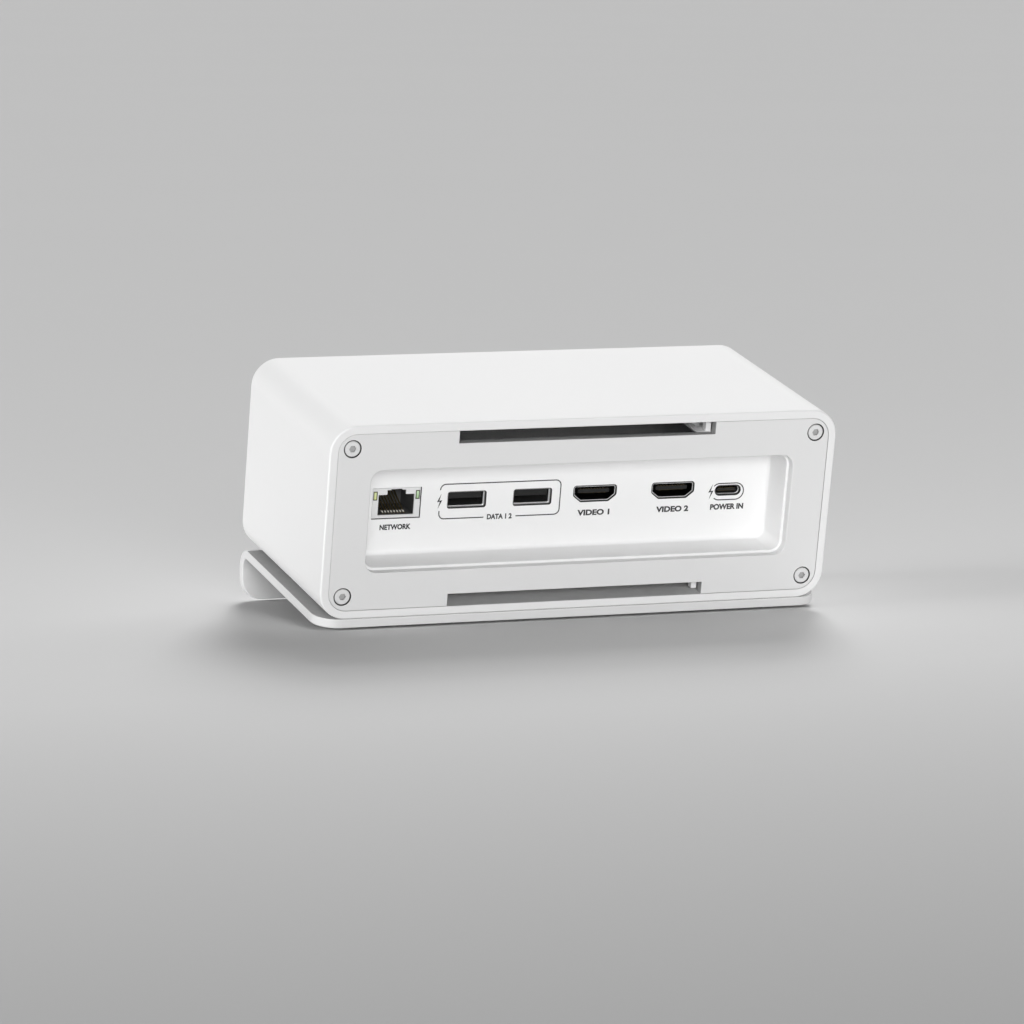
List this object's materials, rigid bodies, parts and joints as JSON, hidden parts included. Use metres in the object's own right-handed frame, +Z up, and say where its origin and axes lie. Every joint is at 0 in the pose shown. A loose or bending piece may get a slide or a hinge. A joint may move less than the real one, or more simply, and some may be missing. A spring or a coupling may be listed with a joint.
{
  "type": "docking station",
  "caption": "Rounded box with a recessed bay of sockets in one end panel, tilted on a bent sheet stand; it joins a laptop to screens, network, power and other devices.",
  "frame": {"origin": "on the table under the middle of the whole part's box", "axes": "+X along the width, with the sockets facing -Y; +Z up from the table"},
  "size_m": [0.175, 0.0902, 0.0814],
  "materials": {
    "white_casing": "satin white paint",
    "white_stand": "satin white powder coat",
    "white_tray": "fine matte",
    "screw_steel": "satin nickel",
    "bright_steel": "bright tin plate",
    "black_nickel": "black nickel",
    "black_insulator": "matte",
    "gold_contacts": "gold plate",
    "yellow_lens": "clear tinted",
    "green_lens": "clear tinted",
    "board_laminate": "solder mask",
    "chip_black": "moulded",
    "ferrite": "sintered",
    "capacitor_can": "drawn",
    "pad_silicone": "soft",
    "black_anodised": "black anodised",
    "cover_film": "matte film",
    "foot_rubber": "matte"
  },
  "bodies": {
    "root": {"bulk_capacitors": "capacitor_can", "crystals": "bright_steel", "fin_cover": "cover_film", "flap_feet": "foot_rubber", "front_panel": "white_casing", "front_panel_screws": "screw_steel", "heat_sink": "black_anodised", "heat_sink_nuts": "screw_steel", "heat_sink_screws": "screw_steel", "heat_sink_spacers": "gold_contacts", "host_port_contacts": "gold_contacts", "host_port_shell": "bright_steel", "host_port_tongue": "black_insulator", "housing_sleeve": "white_casing", "hub_chip": "chip_black", "main_board": "board_laminate", "memory_chip": "chip_black", "near_feet": "foot_rubber", "network_chip": "chip_black", "network_jack_contacts": "gold_contacts", "network_jack_insert": "black_insulator", "network_jack_shell": "bright_steel", "network_led_left": "yellow_lens", "network_led_right": "green_lens", "network_transformer": "chip_black", "port_tray": "white_tray", "power_chip": "chip_black", "power_inductors": "ferrite", "power_port_contacts": "gold_contacts", "power_port_shell": "bright_steel", "power_port_tongue": "black_insulator", "rear_panel": "white_casing", "rear_panel_screws": "screw_steel", "stand": "white_stand", "stand_screws": "screw_steel", "thermal_pads": "pad_silicone", "type_a_left_contacts": "gold_contacts", "type_a_left_shell": "bright_steel", "type_a_left_tongue": "black_insulator", "type_a_right_contacts": "gold_contacts", "type_a_right_shell": "bright_steel", "type_a_right_tongue": "black_insulator", "video_chip": "chip_black", "video_left_contacts": "gold_contacts", "video_left_shell": "black_nickel", "video_left_tongue": "black_insulator", "video_right_contacts": "gold_contacts", "video_right_shell": "black_nickel", "video_right_tongue": "black_insulator"}
  },
  "joints": []
}
